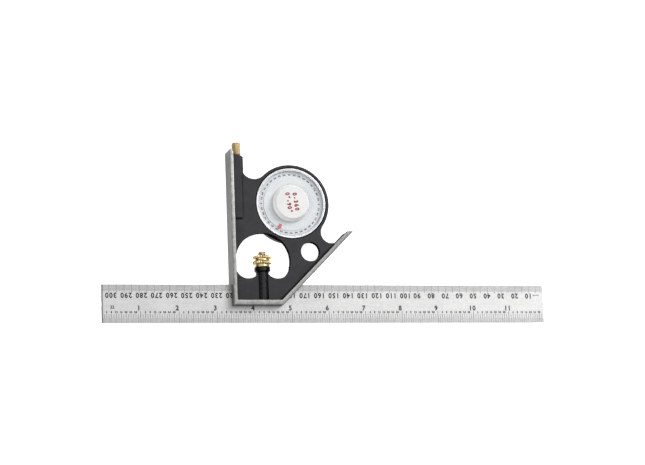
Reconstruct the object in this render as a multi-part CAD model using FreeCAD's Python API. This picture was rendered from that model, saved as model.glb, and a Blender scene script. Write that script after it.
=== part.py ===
import FreeCAD, Part
import math
import os
from FreeCAD import Vector

# A 12 inch / 300 mm combination square with a gravity angle finder in its head.
# Working coordinates, in millimetres:
#   x runs along the rule from its zero end, y up from the rule's centre line,
#   z out of the front face from the rule's mid-thickness.
# to_row_frame() moves every finished piece to the stored frame at the end.

# --- Rule (blade) ---
BLADE_LENGTH = 304.8
BLADE_WIDTH = 25.4
BLADE_THICK = 2.0
GROOVE_WIDTH = 3.2
GROOVE_DEPTH = 0.6
SLOT_PLAY = 0.05
SLOT_MOUTH_RELIEF = 1.5

# --- Head casting ---
HEAD_DEPTH = 15.0
WEB_THICK = 5.0
STOCK_X = 86.4
STOCK_WALL = 2.55
STOCK_TOP_Y = 103.5
BASE_Y = -1.7
BASE_WALL = 3.45
MITRE_OFFSET = 121.35
MITRE_INSET = 4.05
MITRE_TOP_Y = 48.4
EDGE_RADIUS = 0.35
BAY_EASE = 0.6
HOLE_EASE = 0.3

# --- Ring that holds the angle finder ---
DIAL_X = 128.5
DIAL_Y = 67.8
RING_OUTER_R = 26.4
RING_BORE_R = 23.8
RING_BACK_Z = -6.7
RING_GROOVE_Z = -4.4
RING_GROOVE_DEPTH = 0.4
RING_GROOVE_HALF = 0.25
RING_LIP_R = 22.6
RING_LIP_THICK = 1.2
RIM_CHAMFER = 0.5
RIM_ROUND_R = 1.0
MOUTH_CHAMFER = 0.7

# --- Bays and openings in the web ---
UPPER_BAY_R = 8.75
UPPER_BAY_ANGLE = 134.4
LOWER_BAY_R = 7.3
LOWER_BAY_ANGLE = -35.4
DOME_X = 108.3
DOME_Y = 28.8
DOME_R = 18.65
LOBE_XS = (97.9, 118.0)
LOBE_Y = 25.2
LOBE_R = 8.45
HANG_HOLE_X = 140.85
HANG_HOLE_Y = 35.1
HANG_HOLE_R = 6.5

# --- Lock: boss, bolt, nut and spring ---
LOCK_X = 107.85
BOSS_R = 4.2
COLLAR_R = 5.4
COLLAR_LOW_Y = 21.9
COLLAR_TOP_Y = 24.4
COLLAR_TAPER = 1.2
BOLT_R = 2.5
BOLT_TOP_Y = 34.9
BOLT_LOW_Y = -0.6
BOLT_NOTCH_Y = 14.3
BOLT_CLEARANCE = 0.08
HOOK_TOP_Y = 1.5
HOOK_LOW_Y = 0.35
SPRING_WELL_R = 3.4
SPRING_WELL_Y = 19.2
SPRING_MEAN_R = 2.98
SPRING_WIRE_R = 0.22
SPRING_TURNS = 4
SPRING_STEPS = 20
WASHER_THICK = 0.45
NUT_LOW_Y = 24.45
NUT_BORE_R = 2.55

# --- Scriber ---
SCRIBER_X = 92.5
COLUMN_RIGHT_X = 95.2
COLUMN_WEB_X = 96.5
COLUMN_DEPTH = 8.4
COLUMN_EDGE_R = 0.8
COLUMN_LOW_Y = 57.0
COLUMN_TOP_Y = 99.8
COLUMN_CHAMFER = 1.1
PIN_R = 1.25
PIN_TIP_Y = 62.0
PIN_TIP_LENGTH = 6.0
PIN_TOP_Y = 106.0
PIN_BORE_R = 1.5
PIN_BORE_LOW_Y = 59.0
BUSH_R = 2.1
BUSH_BORE_R = 1.3
BUSH_LOW_Y = 93.0
KNOB_LOW_Y = 99.9
KNOB_TOP_Y = 108.9
KNOB_R = 3.05
KNOB_ROUND = 1.0

# --- Angle finder, all turned about the dial's axis ---
CASE_R = 23.75
CASE_BACK_Z = -5.45
CASE_FLOOR = 1.2
CASE_WALL_R = 21.4
CASE_SEAT_R = 22.65
CASE_SEAT_Z = -0.4
CASE_FRONT_Z = 2.2
BEARING_BOSS_R = 3.2
BEARING_R = 2.2
BEARING_BORE_R = 0.8
REAR_BEARING_TOP_Z = -2.7
PIVOT_R = 0.75
PIVOT_LOW_Z = -3.9
PIVOT_TOP_Z = 3.5
DIAL_RING_INNER_R = 17.6
DIAL_RING_R = 22.6
DIAL_RING_FRONT_Z = 0.1
SPACER_INNER_R = 22.0
LENS_BACK_Z = 1.3
LENS_HOLE_R = 6.0
DISC_R = 18.4
DISC_BACK_Z = 0.35
DISC_THICK = 0.4
DISC_HOLE_R = 2.0
POINTER_ANGLE = 243.0
WEIGHT_INNER_R = 9.5
WEIGHT_OUTER_R = 16.5
WEIGHT_SPAN = 110.0
WEIGHT_BACK_Z = -3.2
RIVET_R = 0.8
RIVET_ORBIT_R = 13.0
RIVET_SPREAD = 32.0
HUB_FLANGE_R = 4.2
HUB_FLANGE_Z = -0.4
HUB_LOW_Z = -2.2
CAP_BASE_R = 12.6
CAP_TOP_R = 11.1
CAP_BACK_Z = 2.22
CAP_FRONT_Z = 6.5
CAP_WALL = 1.0
CAP_EDGE = 0.5
BEZEL_INNER_R = 22.2
BEZEL_FRONT_Z = 2.85

# The stored frame: middle of the object's plan, on the surface it lies on.
ROW_SHIFT = Vector(
    -BLADE_LENGTH / 2.0,
    -(KNOB_TOP_Y - BLADE_WIDTH / 2.0) / 2.0,
    HEAD_DEPTH / 2.0,
)
Z_AXIS = Vector(0, 0, 1)
Y_AXIS = Vector(0, 1, 0)


def box(x_low, x_high, y_low, y_high, z_low, z_high):
    corner = Vector(x_low, y_low, z_low)
    return Part.makeBox(x_high - x_low, y_high - y_low, z_high - z_low, corner)


def cylinder_y(radius, x, y_low, y_high):
    return Part.makeCylinder(radius, y_high - y_low, Vector(x, y_low, 0), Y_AXIS)


def cylinder_z(radius, x, y, z_low, z_high):
    return Part.makeCylinder(radius, z_high - z_low, Vector(x, y, z_low), Z_AXIS)


def plate(outline, depth):
    """A flat plate of the outline's shape, centred on the rule's mid-plane."""
    points = [Vector(x, y, -depth / 2.0) for x, y in outline]
    points.append(points[0])
    face = Part.Face(Part.makePolygon(points))
    return face.extrude(Vector(0, 0, depth))


def turned_y(profile, x):
    """A turned piece about the upright line at x; the profile is (radius, y)."""
    points = [Vector(x + radius, y, 0) for radius, y in profile]
    points.append(points[0])
    face = Part.Face(Part.makePolygon(points))
    return face.revolve(Vector(x, 0, 0), Y_AXIS, 360)


def turned_z(profile):
    """A turned piece about the dial's axis; the profile is (radius, z)."""
    points = [Vector(DIAL_X + radius, DIAL_Y, z) for radius, z in profile]
    points.append(points[0])
    face = Part.Face(Part.makePolygon(points))
    return face.revolve(Vector(DIAL_X, DIAL_Y, 0), Z_AXIS, 360)


def around_dial(radius, angle):
    turn = math.radians(angle)
    return DIAL_X + radius * math.cos(turn), DIAL_Y + radius * math.sin(turn)


def round_face_edges(shape, radius, depth):
    """Round the edges that lie in the plate's front and back faces."""
    half = depth / 2.0
    edges = []
    for edge in shape.Edges:
        span = edge.BoundBox
        flat = span.ZMax - span.ZMin < 1e-6
        if flat and abs(abs(span.ZMax) - half) < 1e-6:
            edges.append(edge)
    return shape.makeFillet(radius, edges)


# ----------------------------------------------------------------- head casting

def head_flanges():
    """The stock face, the base and the 45 degree face, as one bent strip."""
    inner_x = STOCK_X + STOCK_WALL
    inner_y = BASE_Y + BASE_WALL
    mitre_inner = MITRE_OFFSET - MITRE_INSET
    outline = [
        (STOCK_X, STOCK_TOP_Y - 0.6),
        (STOCK_X, BASE_Y),
        (MITRE_OFFSET + BASE_Y, BASE_Y),
        (MITRE_OFFSET + MITRE_TOP_Y, MITRE_TOP_Y),
        (mitre_inner + MITRE_TOP_Y, MITRE_TOP_Y),
        (mitre_inner + inner_y, inner_y),
        (inner_x, inner_y),
        (inner_x, STOCK_TOP_Y - 2.4),
        (STOCK_X + 1.2, STOCK_TOP_Y),
        (STOCK_X + 0.6, STOCK_TOP_Y),
    ]
    return round_face_edges(plate(outline, HEAD_DEPTH), EDGE_RADIUS, HEAD_DEPTH)


def soft_hole(radius, x, y, ease):
    """A cutter for a round hole or bay in the web, easing both of its mouths."""
    half = WEB_THICK / 2.0
    wide = radius + ease
    eased = radius + 0.3 * ease
    profile = [(0.0, -HEAD_DEPTH), (wide, -HEAD_DEPTH), (wide, -half)]
    profile.append((eased, -half + 0.3 * ease))
    profile.append((radius, -half + ease))
    mirrored = [(r, -z) for r, z in reversed(profile)]
    shape = turned_z(profile + mirrored)
    shape.translate(Vector(x - DIAL_X, y - DIAL_Y, 0))
    return shape


def finger_opening():
    """The domed opening round the lock nut, with its two lobes at the bottom."""
    dome = soft_hole(DOME_R, DOME_X, DOME_Y, HOLE_EASE)
    tall = HEAD_DEPTH + 1.0
    above_lobes = box(DOME_X - 30, DOME_X + 30, LOBE_Y, LOBE_Y + 40, -tall, tall)
    shape = dome.common(above_lobes)
    for lobe_x in LOBE_XS:
        shape = shape.fuse(soft_hole(LOBE_R, lobe_x, LOBE_Y, HOLE_EASE))
    return shape


def web():
    """The flat middle plate with its bays and openings."""
    upper_bay = around_dial(RING_OUTER_R + UPPER_BAY_R, UPPER_BAY_ANGLE)
    lower_bay = around_dial(RING_OUTER_R + LOWER_BAY_R, LOWER_BAY_ANGLE)
    mid_mitre = MITRE_OFFSET - MITRE_INSET / 2.0
    inside_stock = STOCK_X + STOCK_WALL / 2.0
    mitre_end_y = 43.0
    outline = [
        (inside_stock, 0.0),
        (mid_mitre, 0.0),
        (mid_mitre + mitre_end_y, mitre_end_y),
        lower_bay,
        (DIAL_X, DIAL_Y),
        upper_bay,
        (SCRIBER_X, upper_bay[1]),
        (inside_stock, upper_bay[1]),
    ]
    shape = plate(outline, WEB_THICK)
    ring_middle = (RING_OUTER_R + RING_BORE_R) / 2.0
    cuts = [
        soft_hole(UPPER_BAY_R, *upper_bay, BAY_EASE),
        soft_hole(LOWER_BAY_R, *lower_bay, BAY_EASE),
        cylinder_z(ring_middle, DIAL_X, DIAL_Y, -WEB_THICK, WEB_THICK),
        finger_opening(),
        soft_hole(HANG_HOLE_R, HANG_HOLE_X, HANG_HOLE_Y, HOLE_EASE),
    ]
    for cut in cuts:
        shape = shape.cut(cut)
    return shape


def rim_rounding(front):
    """The rounded outer edge of the ring's front, as (radius, z) points."""
    centre_r = RING_OUTER_R - RIM_ROUND_R
    centre_z = front - RIM_ROUND_R
    points = []
    for degrees in (0, 30, 60, 90):
        angle = math.radians(degrees)
        r = centre_r + RIM_ROUND_R * math.cos(angle)
        points.append((r, centre_z + RIM_ROUND_R * math.sin(angle)))
    return points


def finder_ring():
    """The ring for the angle finder: flush with the web in front, deep behind it."""
    front = WEB_THICK / 2.0
    groove_r = RING_OUTER_R - RING_GROOVE_DEPTH
    profile = [
        (RING_LIP_R, RING_BACK_Z),
        (RING_OUTER_R - RIM_CHAMFER, RING_BACK_Z),
        (RING_OUTER_R, RING_BACK_Z + RIM_CHAMFER),
        (RING_OUTER_R, RING_GROOVE_Z - RING_GROOVE_HALF),
        (groove_r, RING_GROOVE_Z - RING_GROOVE_HALF),
        (groove_r, RING_GROOVE_Z + RING_GROOVE_HALF),
        (RING_OUTER_R, RING_GROOVE_Z + RING_GROOVE_HALF),
        *rim_rounding(front),
        (RING_BORE_R + MOUTH_CHAMFER, front),
        (RING_BORE_R, front - MOUTH_CHAMFER),
        (RING_BORE_R, RING_BACK_Z + RING_LIP_THICK),
        (RING_LIP_R, RING_BACK_Z + RING_LIP_THICK),
    ]
    ring = turned_z(profile)
    # the finger opening runs through the ring only where the web is
    in_web = box(DIAL_X - 60, DIAL_X + 60, 0, DIAL_Y, -WEB_THICK / 2.0, HEAD_DEPTH)
    return ring.cut(finger_opening().common(in_web))


def lock_boss():
    """The upright boss round the lock bolt, with its flared top collar."""
    profile = [
        (0.0, BASE_Y),
        (BOSS_R, BASE_Y),
        (BOSS_R, COLLAR_LOW_Y - COLLAR_TAPER),
        (COLLAR_R, COLLAR_LOW_Y),
        (COLLAR_R, COLLAR_TOP_Y - 0.3),
        (COLLAR_R - 0.3, COLLAR_TOP_Y),
        (0.0, COLLAR_TOP_Y),
    ]
    return turned_y(profile, LOCK_X)


def scriber_column():
    """The flat-fronted column that stands proud of the web and holds the scriber."""
    inside_stock = STOCK_X + STOCK_WALL / 2.0
    outline = [
        (inside_stock, COLUMN_LOW_Y),
        (COLUMN_RIGHT_X, COLUMN_LOW_Y),
        (COLUMN_RIGHT_X, COLUMN_TOP_Y - COLUMN_CHAMFER),
        (COLUMN_RIGHT_X - COLUMN_CHAMFER, COLUMN_TOP_Y),
        (inside_stock, COLUMN_TOP_Y),
    ]
    column = round_face_edges(plate(outline, COLUMN_DEPTH), COLUMN_EDGE_R, COLUMN_DEPTH)
    beside = [
        (inside_stock, COLUMN_LOW_Y),
        (COLUMN_WEB_X, COLUMN_LOW_Y),
        (COLUMN_WEB_X, COLUMN_TOP_Y - COLUMN_CHAMFER),
        (COLUMN_WEB_X - COLUMN_CHAMFER, COLUMN_TOP_Y),
        (inside_stock, COLUMN_TOP_Y),
    ]
    return column.fuse(plate(beside, WEB_THICK))


def head():
    shape = head_flanges()
    for piece in (web(), finder_ring(), lock_boss(), scriber_column()):
        shape = shape.fuse(piece)
    slot_half = BLADE_THICK / 2.0 + SLOT_PLAY
    slot_top = BLADE_WIDTH / 2.0 + SLOT_PLAY
    slot_end = MITRE_OFFSET + slot_top + 2.0
    # the relief lets a plate lie on the mitre face with the rule passing through it
    relief_x = MITRE_OFFSET + slot_top - SLOT_MOUTH_RELIEF
    relief_top = slot_top + SLOT_MOUTH_RELIEF
    cuts = [
        box(STOCK_X - 2, slot_end, BASE_Y - 2, slot_top, -slot_half, slot_half),
        box(relief_x, slot_end, slot_top - 1, relief_top, -slot_half, slot_half),
        cylinder_y(BOLT_R + BOLT_CLEARANCE, LOCK_X, BASE_Y - 1, COLLAR_TOP_Y + 1),
        cylinder_y(SPRING_WELL_R, LOCK_X, SPRING_WELL_Y, COLLAR_TOP_Y + 1),
        cylinder_y(PIN_BORE_R, SCRIBER_X, PIN_BORE_LOW_Y, COLUMN_TOP_Y + 1),
        cylinder_y(BUSH_R, SCRIBER_X, BUSH_LOW_Y, COLUMN_TOP_Y + 1),
    ]
    for cut in cuts:
        shape = shape.cut(cut)
    return shape.removeSplitter()


# ------------------------------------------------------------------------ blade

def blade():
    """The steel rule, with the lock groove along the middle of its back."""
    half_width = BLADE_WIDTH / 2.0
    half_thick = BLADE_THICK / 2.0
    rule = box(0, BLADE_LENGTH, -half_width, half_width, -half_thick, half_thick)
    groove_half = GROOVE_WIDTH / 2.0
    groove_floor = -half_thick + GROOVE_DEPTH
    groove = box(-1, BLADE_LENGTH + 1, -groove_half, groove_half, -half_thick - 1, groove_floor)
    return rule.cut(groove)


# ------------------------------------------------------------------------- lock

def lock_bolt():
    """Round bolt, halved where it passes behind the rule, with a hook tooth."""
    end_chamfer = 0.5
    profile = [
        (0.0, BOLT_LOW_Y),
        (BOLT_R, BOLT_LOW_Y),
        (BOLT_R, BOLT_TOP_Y - end_chamfer),
        (BOLT_R - end_chamfer, BOLT_TOP_Y),
        (0.0, BOLT_TOP_Y),
    ]
    shape = turned_y(profile, LOCK_X)
    behind_rule = -BLADE_THICK / 2.0 - 0.06
    notch = box(LOCK_X - 3, LOCK_X + 3, BOLT_LOW_Y - 1, BOLT_NOTCH_Y, behind_rule, 4)
    hook_front = -BLADE_THICK / 2.0 + GROOVE_DEPTH - 0.1
    tooth = box(LOCK_X - 1.8, LOCK_X + 1.8, HOOK_LOW_Y, HOOK_TOP_Y, behind_rule - 0.3, hook_front)
    return shape.cut(notch).fuse(tooth).removeSplitter()


def lock_nut():
    """Brass nut: a neck, then two rounded grip rings with a groove between."""
    profile = [
        (NUT_BORE_R, NUT_LOW_Y),
        (4.9, NUT_LOW_Y),
        (5.1, NUT_LOW_Y + 0.3),
        (5.1, 25.9),
        (5.9, 26.5),
        (6.25, 27.3),
        (6.1, 28.2),
        (5.5, 28.8),
        (5.5, 29.5),
        (6.1, 30.1),
        (6.25, 31.0),
        (5.95, 31.8),
        (5.1, 32.4),
        (3.6, 32.7),
        (NUT_BORE_R + 0.3, 32.7),
        (NUT_BORE_R, 32.4),
    ]
    return turned_y(profile, LOCK_X)


def spring_washer():
    """The thin washer between the spring and the nut's underside."""
    top = COLLAR_TOP_Y
    ring = cylinder_y(SPRING_WELL_R - 0.1, LOCK_X, top - WASHER_THICK, top)
    return ring.cut(cylinder_y(BOLT_R + 0.1, LOCK_X, top - 1, top + 1))


def lock_spring():
    """The coil spring in the boss's well, held between its floor and the washer."""
    low = SPRING_WELL_Y + SPRING_WIRE_R
    high = COLLAR_TOP_Y - WASHER_THICK - SPRING_WIRE_R
    count = SPRING_TURNS * SPRING_STEPS
    points = []
    for step in range(count + 1):
        angle = 2.0 * math.pi * step / SPRING_STEPS
        across = SPRING_MEAN_R * math.cos(angle)
        out = -SPRING_MEAN_R * math.sin(angle)
        points.append(Vector(LOCK_X + across, low + (high - low) * step / count, out))
    path = Part.makePolygon(points)
    ring = Part.makeCircle(SPRING_WIRE_R, points[0], points[1] - points[0])
    return path.makePipeShell([Part.Wire(ring)], True, False, 1)


# ---------------------------------------------------------------------- scriber

def scriber_pin():
    """The steel needle with its long drawn point."""
    profile = [
        (0.0, PIN_TIP_Y),
        (0.15, PIN_TIP_Y + 0.1),
        (PIN_R, PIN_TIP_Y + PIN_TIP_LENGTH),
        (PIN_R, PIN_TOP_Y),
        (0.0, PIN_TOP_Y),
    ]
    return turned_y(profile, SCRIBER_X)


def scriber_bush():
    """The split friction sleeve in the mouth of the scriber's hole."""
    sleeve = cylinder_y(BUSH_R, SCRIBER_X, BUSH_LOW_Y, COLUMN_TOP_Y - 0.1)
    sleeve = sleeve.cut(cylinder_y(BUSH_BORE_R, SCRIBER_X, BUSH_LOW_Y - 1, COLUMN_TOP_Y + 1))
    split = box(SCRIBER_X - 0.25, SCRIBER_X + 0.25, BUSH_LOW_Y - 1, COLUMN_TOP_Y + 1, -3, 0)
    return sleeve.cut(split)


def scriber_knob():
    """The brass knob, bored for the needle, with a rounded top."""
    steps = 6
    profile = [(0.0, KNOB_LOW_Y), (KNOB_R - 0.35, KNOB_LOW_Y), (KNOB_R - 0.15, KNOB_LOW_Y + 0.3)]
    for step in range(steps + 1):
        turn = math.radians(90.0 * step / steps)
        radius = KNOB_R - KNOB_ROUND + KNOB_ROUND * math.cos(turn)
        profile.append((radius, KNOB_TOP_Y - KNOB_ROUND + KNOB_ROUND * math.sin(turn)))
    profile.append((0.0, KNOB_TOP_Y))
    shape = turned_y(profile, SCRIBER_X)
    return shape.cut(cylinder_y(PIN_R, SCRIBER_X, KNOB_LOW_Y - 1, PIN_TOP_Y))


# ----------------------------------------------------------------- angle finder

def finder_case():
    """The moulded cup, with a seat for the dial and a boss for the rear bearing."""
    floor_top = CASE_BACK_Z + CASE_FLOOR
    profile = [
        (0.0, CASE_BACK_Z),
        (CASE_R, CASE_BACK_Z),
        (CASE_R, CASE_FRONT_Z),
        (CASE_SEAT_R, CASE_FRONT_Z),
        (CASE_SEAT_R, CASE_SEAT_Z),
        (CASE_WALL_R, CASE_SEAT_Z),
        (CASE_WALL_R, floor_top),
        (BEARING_BOSS_R, floor_top),
        (BEARING_BOSS_R, REAR_BEARING_TOP_Z - 0.4),
        (BEARING_R, REAR_BEARING_TOP_Z - 0.4),
        (BEARING_R, floor_top),
        (0.0, floor_top),
    ]
    return turned_z(profile)


def rear_bearing():
    """The blind brass bearing that the pivot's back end runs in."""
    floor_top = CASE_BACK_Z + CASE_FLOOR
    profile = [
        (0.0, floor_top),
        (BEARING_R, floor_top),
        (BEARING_R, REAR_BEARING_TOP_Z),
        (BEARING_BORE_R, REAR_BEARING_TOP_Z),
        (BEARING_BORE_R, PIVOT_LOW_Z - 0.1),
        (0.0, PIVOT_LOW_Z - 0.1),
    ]
    return turned_z(profile)


def front_bearing():
    """The bearing under the cap that the pivot's front end runs in."""
    top = CAP_FRONT_Z - CAP_WALL
    profile = [
        (BEARING_BORE_R, CAP_BACK_Z),
        (BEARING_R, CAP_BACK_Z),
        (BEARING_R, top),
        (0.0, top),
        (0.0, PIVOT_TOP_Z + 0.1),
        (BEARING_BORE_R, PIVOT_TOP_Z + 0.1),
    ]
    return turned_z(profile)


def dial_ring():
    """The flat scale ring that carries the degree marks."""
    profile = [
        (DIAL_RING_INNER_R, CASE_SEAT_Z),
        (DIAL_RING_R, CASE_SEAT_Z),
        (DIAL_RING_R, DIAL_RING_FRONT_Z),
        (DIAL_RING_INNER_R, DIAL_RING_FRONT_Z),
    ]
    return turned_z(profile)


def lens_spacer():
    """The thin ring that keeps the lens clear of the pointer disc."""
    profile = [
        (SPACER_INNER_R, DIAL_RING_FRONT_Z),
        (DIAL_RING_R, DIAL_RING_FRONT_Z),
        (DIAL_RING_R, LENS_BACK_Z),
        (SPACER_INNER_R, LENS_BACK_Z),
    ]
    return turned_z(profile)


def lens():
    """The clear flat window, bored for the cap's spigot."""
    profile = [
        (LENS_HOLE_R, LENS_BACK_Z),
        (DIAL_RING_R, LENS_BACK_Z),
        (DIAL_RING_R, CASE_FRONT_Z),
        (LENS_HOLE_R, CASE_FRONT_Z),
    ]
    return turned_z(profile)


def hub_cap():
    """The raised centre cap: a low cone, hollow behind, with a spigot in the lens."""
    inner_top = CAP_FRONT_Z - CAP_WALL
    spigot_r = LENS_HOLE_R - 0.05
    profile = [
        (spigot_r - 1.0, LENS_BACK_Z + 0.1),
        (spigot_r, LENS_BACK_Z + 0.1),
        (spigot_r, CAP_BACK_Z),
        (CAP_BASE_R, CAP_BACK_Z),
        (CAP_TOP_R + 0.1, CAP_FRONT_Z - CAP_EDGE),
        (CAP_TOP_R - CAP_EDGE, CAP_FRONT_Z),
        (0.0, CAP_FRONT_Z),
        (0.0, inner_top),
        (spigot_r - 1.0, inner_top),
    ]
    return turned_z(profile)


def bezel():
    """The bright retaining ring over the lens's edge, with a rounded front."""
    steps = 6
    middle = (BEZEL_INNER_R + CASE_R) / 2.0
    half = (CASE_R - BEZEL_INNER_R) / 2.0
    crown = 0.4
    shoulder_z = BEZEL_FRONT_Z - crown
    profile = [(BEZEL_INNER_R, CAP_BACK_Z), (CASE_R, CAP_BACK_Z)]
    for step in range(steps + 1):
        turn = math.radians(180.0 * step / steps)
        profile.append((middle + half * math.cos(turn), shoulder_z + crown * math.sin(turn)))
    return turned_z(profile)


def pointer_disc():
    """The thin disc that carries the red pointer and turns with the weight."""
    front = DISC_BACK_Z + DISC_THICK
    profile = [
        (DISC_HOLE_R, DISC_BACK_Z),
        (DISC_R, DISC_BACK_Z),
        (DISC_R, front),
        (DISC_HOLE_R, front),
    ]
    shape = turned_z(profile)
    for hole in rivet_cylinders(DISC_BACK_Z - 1, front + 1):
        shape = shape.cut(hole)
    return shape


def pendulum_weight():
    """The cast arc opposite the pointer, which keeps the pointer uppermost."""
    profile = [
        Vector(DIAL_X + WEIGHT_INNER_R, DIAL_Y, WEIGHT_BACK_Z),
        Vector(DIAL_X + WEIGHT_OUTER_R, DIAL_Y, WEIGHT_BACK_Z),
        Vector(DIAL_X + WEIGHT_OUTER_R, DIAL_Y, DISC_BACK_Z),
        Vector(DIAL_X + WEIGHT_INNER_R, DIAL_Y, DISC_BACK_Z),
    ]
    profile.append(profile[0])
    face = Part.Face(Part.makePolygon(profile))
    centre = Vector(DIAL_X, DIAL_Y, 0)
    shape = face.revolve(centre, Z_AXIS, WEIGHT_SPAN)
    shape.rotate(centre, Z_AXIS, POINTER_ANGLE + 180.0 - WEIGHT_SPAN / 2.0)
    for hole in rivet_cylinders(WEIGHT_BACK_Z - 1, DISC_BACK_Z + 1):
        shape = shape.cut(hole)
    return shape


def rivet_cylinders(z_low, z_high):
    """The two rivet shanks through the weight and the disc."""
    shanks = []
    for side in (-1, 1):
        angle = POINTER_ANGLE + 180.0 + side * RIVET_SPREAD
        x, y = around_dial(RIVET_ORBIT_R, angle)
        shanks.append(cylinder_z(RIVET_R, x, y, z_low, z_high))
    return shanks


def weight_rivets():
    return Part.makeCompound(rivet_cylinders(WEIGHT_BACK_Z, DISC_BACK_Z + DISC_THICK))


def pendulum_hub():
    """The flanged bush that holds the disc on the pivot."""
    front = DISC_BACK_Z + DISC_THICK
    profile = [
        (PIVOT_R, HUB_LOW_Z),
        (DISC_HOLE_R, HUB_LOW_Z),
        (DISC_HOLE_R, HUB_FLANGE_Z),
        (HUB_FLANGE_R, HUB_FLANGE_Z),
        (HUB_FLANGE_R, DISC_BACK_Z),
        (DISC_HOLE_R, DISC_BACK_Z),
        (DISC_HOLE_R, front),
        (PIVOT_R, front),
    ]
    return turned_z(profile)


def pivot_pin():
    profile = [
        (0.0, PIVOT_LOW_Z),
        (PIVOT_R, PIVOT_LOW_Z),
        (PIVOT_R, PIVOT_TOP_Z),
        (0.0, PIVOT_TOP_Z),
    ]
    return turned_z(profile)


# ----------------------------------------------------------------------- export

PIECES = {
    "head": head,
    "blade": blade,
    "lock_bolt": lock_bolt,
    "lock_nut": lock_nut,
    "lock_spring": lock_spring,
    "spring_washer": spring_washer,
    "scriber_pin": scriber_pin,
    "scriber_knob": scriber_knob,
    "scriber_bush": scriber_bush,
    "finder_case": finder_case,
    "rear_bearing": rear_bearing,
    "front_bearing": front_bearing,
    "dial_ring": dial_ring,
    "lens_spacer": lens_spacer,
    "lens": lens,
    "hub_cap": hub_cap,
    "bezel": bezel,
    "pointer_disc": pointer_disc,
    "pendulum_weight": pendulum_weight,
    "weight_rivets": weight_rivets,
    "pendulum_hub": pendulum_hub,
    "pivot_pin": pivot_pin,
}


def to_row_frame(shape):
    """Move a piece from the working coordinates to the stored frame."""
    moved = shape.copy()
    moved.translate(ROW_SHIFT)
    return moved


os.makedirs("parts", exist_ok=True)
for name, make in PIECES.items():
    piece = to_row_frame(make())
    piece.exportStep("parts/" + name + ".step")
    span = piece.BoundBox
    print(
        "%-16s solids %d valid %s volume %9.1f  z %.2f to %.2f"
        % (name, len(piece.Solids), piece.isValid(), piece.Volume, span.ZMin, span.ZMax)
    )
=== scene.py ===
import math

import bmesh
import bpy
from mathutils import Matrix, Vector


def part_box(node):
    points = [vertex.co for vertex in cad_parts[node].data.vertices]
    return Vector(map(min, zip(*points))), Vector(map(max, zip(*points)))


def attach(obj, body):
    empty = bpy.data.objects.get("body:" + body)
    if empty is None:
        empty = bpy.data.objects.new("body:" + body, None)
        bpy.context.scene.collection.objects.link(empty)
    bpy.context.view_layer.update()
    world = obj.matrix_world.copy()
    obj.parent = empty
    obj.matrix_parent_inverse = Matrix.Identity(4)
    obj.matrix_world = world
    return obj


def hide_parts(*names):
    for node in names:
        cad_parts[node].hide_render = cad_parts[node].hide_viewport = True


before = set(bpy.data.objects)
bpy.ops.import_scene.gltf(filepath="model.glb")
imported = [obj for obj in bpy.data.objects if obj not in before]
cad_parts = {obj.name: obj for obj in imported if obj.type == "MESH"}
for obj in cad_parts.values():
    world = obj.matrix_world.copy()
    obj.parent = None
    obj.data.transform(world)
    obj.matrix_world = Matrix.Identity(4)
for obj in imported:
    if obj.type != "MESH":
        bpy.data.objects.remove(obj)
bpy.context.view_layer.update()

# Lengths are written in millimetres and turned into metres by MM.
# The working coordinates: x along the rule from its inch zero end, y up from the
# rule's centre line, z out of the front from the rule's mid-thickness.
MM = 0.001
RULE_LOW, RULE_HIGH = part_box("blade")
ORIGIN = Vector((
    RULE_LOW.x,
    (RULE_LOW.y + RULE_HIGH.y) / 2,
    (RULE_LOW.z + RULE_HIGH.z) / 2,
))
RULE_LENGTH = (RULE_HIGH.x - RULE_LOW.x) / MM
RULE_HALF_WIDTH = (RULE_HIGH.y - RULE_LOW.y) / 2 / MM
RULE_FRONT = (RULE_HIGH.z - RULE_LOW.z) / 2 / MM
FLOOR_Z = 0.0
INCH = 25.4


def at(x, y, z=0.0):
    """A point of the working coordinates, in the row frame, in metres."""
    return ORIGIN + Vector((x, y, z)) * MM


def middle_of(node):
    """The middle of a CAD node's box, in working coordinates, in millimetres."""
    low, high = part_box(node)
    return ((low + high) / 2 - ORIGIN) / MM


def heights_of(node):
    """Where a CAD node's box starts and ends along y, in working millimetres."""
    low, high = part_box(node)
    return (low - ORIGIN).y / MM, (high - ORIGIN).y / MM


HEAD_LOW = (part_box("head")[0] - ORIGIN) / MM
DIAL = middle_of("dial_ring")
NUT = middle_of("lock_nut")
KNOB = middle_of("scriber_knob")

# The head's three flanges. On the mitre's outer face x minus y is MITRE_OFFSET, and on
# its inner face x minus y is MITRE_INNER.
STOCK_WALL = 2.55
BASE_WALL = 3.45
MITRE_OFFSET = 121.35
MITRE_INNER = 117.3
MITRE_WALL = (MITRE_OFFSET - MITRE_INNER) / math.sqrt(2)
ACROSS_MITRE = Vector((1, -1, 0)).normalized()


# ------------------------------------------------------------------ camera, stage

CAMERA_PLACE = (-202.6, -198.0, 1291.0)
CAMERA_AIM = (149.96, 48.34, 1.0)
CAMERA_ROLL = math.radians(-2.24)
CAMERA_LENS = 113.13
SENSOR_WIDTH = 36.0
CAMERA_REACH = 20.0


def make_camera():
    data = bpy.data.cameras.new("camera")
    data.lens = CAMERA_LENS
    data.sensor_width = SENSOR_WIDTH
    data.clip_end = CAMERA_REACH
    camera = bpy.data.objects.new("camera", data)
    bpy.context.scene.collection.objects.link(camera)
    place = at(*CAMERA_PLACE)
    forward = (at(*CAMERA_AIM) - place).normalized()
    right = forward.cross(Vector((0, 1, 0))).normalized()
    up = right.cross(forward)
    turn = Matrix((right, up, -forward)).transposed() @ Matrix.Rotation(CAMERA_ROLL, 3, "Z")
    camera.matrix_world = Matrix.Translation(place) @ turn.to_4x4()
    bpy.context.scene.camera = camera


FLOOR_HALF = 3.0
TABLE_TONE = 0.93
TABLE_GLOW = 0.8
ROOM_LIGHT = 0.32
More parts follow.
